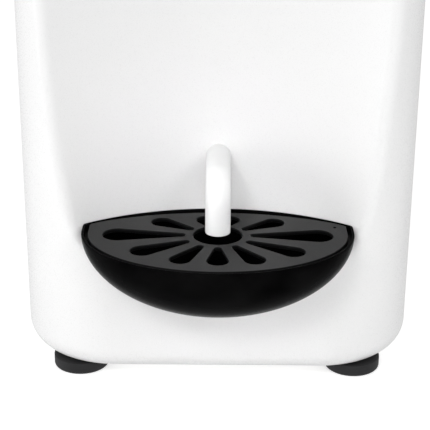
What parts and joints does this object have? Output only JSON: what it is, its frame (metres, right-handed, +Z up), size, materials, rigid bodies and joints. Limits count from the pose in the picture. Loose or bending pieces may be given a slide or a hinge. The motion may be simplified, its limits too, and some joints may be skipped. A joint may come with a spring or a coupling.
{
  "type": "water dispenser",
  "caption": "Countertop water dispenser: white casing with a scooped recess, low bent spout and a half-boat drip tray with a slotted grate.",
  "frame": {"origin": "on the counter, under the middle of the whole appliance", "axes": "+X to the right seen from the front, +Y towards the rear, +Z up"},
  "size_m": [0.3, 0.3885, 0.455],
  "materials": {
    "white_casing": "gloss",
    "white_spout": "gloss",
    "grey_plastic": "satin",
    "black_tray": "satin",
    "dark_grate": "satin",
    "foot_rubber": "matt",
    "black_panel": "gloss",
    "button_plastic": "satin",
    "lens": "clear",
    "black_plastic": "satin",
    "steel": "satin",
    "aluminium": "satin",
    "board": "satin",
    "bearing_plastic": "satin",
    "clear_plastic": "satin",
    "coil": "satin",
    "foam": "matt",
    "ceramic": "matt",
    "brass": "satin",
    "filter_shell": "satin",
    "green_rocker": "satin",
    "red_rocker": "satin",
    "seal_rubber": "matt"
  },
  "bodies": {
    "casing": {"front_casing": "white_casing", "rear_panel": "white_casing", "base_pan": "grey_plastic", "inner_deck": "grey_plastic", "control_panel": "black_panel", "indicator_lenses": "lens", "display_board": "board", "spout_bushing": "bearing_plastic", "outlet_elbow": "clear_plastic", "front_left_foot": "foot_rubber", "front_right_foot": "foot_rubber", "rear_left_foot": "foot_rubber", "rear_right_foot": "foot_rubber", "case_screws": "steel", "hinge_pins": "steel", "valve_block": "clear_plastic", "solenoid_coils": "coil", "cold_tank": "steel", "cold_jacket_left": "foam", "cold_jacket_right": "foam", "cold_block": "aluminium", "thermo_module": "ceramic", "heat_sink": "aluminium", "fan_frame": "black_plastic", "hot_tank": "steel", "hot_jacket_left": "foam", "hot_jacket_right": "foam", "heater_band": "brass", "filter_base": "clear_plastic", "pump": "black_plastic", "power_supply": "aluminium", "main_board": "board", "inlet_fitting": "clear_plastic", "inlet_nut": "clear_plastic", "drain_port": "clear_plastic", "power_inlet": "black_plastic", "power_pins": "steel", "switch_frames": "black_plastic", "inlet_tube": "clear_plastic", "filtered_tube": "clear_plastic", "ambient_tube": "clear_plastic", "cold_tube": "clear_plastic", "hot_tube": "clear_plastic", "hot_feed_tube": "clear_plastic", "drain_tube": "clear_plastic"},
    "cover": {"top_cover": "white_casing"},
    "cold_key": {"cold_button": "button_plastic"},
    "ambient_key": {"ambient_button": "button_plastic"},
    "hot_key": {"hot_button": "button_plastic"},
    "spout_body": {"spout": "white_spout", "spout_clip": "steel", "spout_seal": "seal_rubber"},
    "tray": {"drip_tray": "black_tray"},
    "grate": {"drip_grate": "dark_grate"},
    "rotor": {"fan_rotor": "black_plastic"},
    "carbon_cartridge": {"carbon_filter": "filter_shell"},
    "sediment_cartridge": {"sediment_filter": "filter_shell"},
    "plug": {"drain_plug": "seal_rubber"},
    "cold_switch": {"cold_rocker": "green_rocker"},
    "hot_switch": {"hot_rocker": "red_rocker"}
  },
  "joints": [
    {"name": "cover_hinge", "type": "hinge", "parent": "casing", "child": "cover", "pos_m": [0, 0.18785, 0.435], "axis": [-1, 0, 0], "range_deg": [0, 85]},
    {"name": "cold_press", "type": "slide", "parent": "casing", "child": "cold_key", "axis": [0, 1, 0], "range_m": [0, 0.0015], "stiffness_N_per_m": 900},
    {"name": "ambient_press", "type": "slide", "parent": "casing", "child": "ambient_key", "axis": [0, 1, 0], "range_m": [0, 0.0015], "stiffness_N_per_m": 900},
    {"name": "hot_press", "type": "slide", "parent": "casing", "child": "hot_key", "axis": [0, 1, 0], "range_m": [0, 0.0015], "stiffness_N_per_m": 900},
    {"name": "spout_swivel", "type": "hinge", "parent": "casing", "child": "spout_body", "pos_m": [0, -0.12425, 0.1663], "axis": [0, 1, 0], "range_deg": [-90, 90]},
    {"name": "tray_slide", "type": "slide", "parent": "casing", "child": "tray", "axis": [0, -1, 0], "range_m": [0, 0.13]},
    {"name": "grate_lift", "type": "slide", "parent": "tray", "child": "grate", "axis": [0, 0, 1], "range_m": [0, 0.025]},
    {"name": "fan_spin", "type": "hinge", "parent": "casing", "child": "rotor", "pos_m": [-0.066, 0.142, 0.086], "axis": [0, 1, 0], "continuous": true},
    {"name": "carbon_turn", "type": "hinge", "parent": "casing", "child": "carbon_cartridge", "pos_m": [-0.098, 0.098, 0.204], "axis": [0, 0, 1], "range_deg": [0, 75]},
    {"name": "sediment_turn", "type": "hinge", "parent": "casing", "child": "sediment_cartridge", "pos_m": [-0.026, 0.098, 0.204], "axis": [0, 0, 1], "range_deg": [0, 75]},
    {"name": "plug_pull", "type": "slide", "parent": "casing", "child": "plug", "axis": [0, 1, 0], "range_m": [0, 0.02]},
    {"name": "cold_switch_rock", "type": "hinge", "parent": "casing", "child": "cold_switch", "pos_m": [0.07, 0.17925, 0.112], "axis": [1, 0, 0], "range_deg": [-20, 0]},
    {"name": "hot_switch_rock", "type": "hinge", "parent": "casing", "child": "hot_switch", "pos_m": [0.098, 0.17925, 0.112], "axis": [1, 0, 0], "range_deg": [-20, 0]}
  ]
}
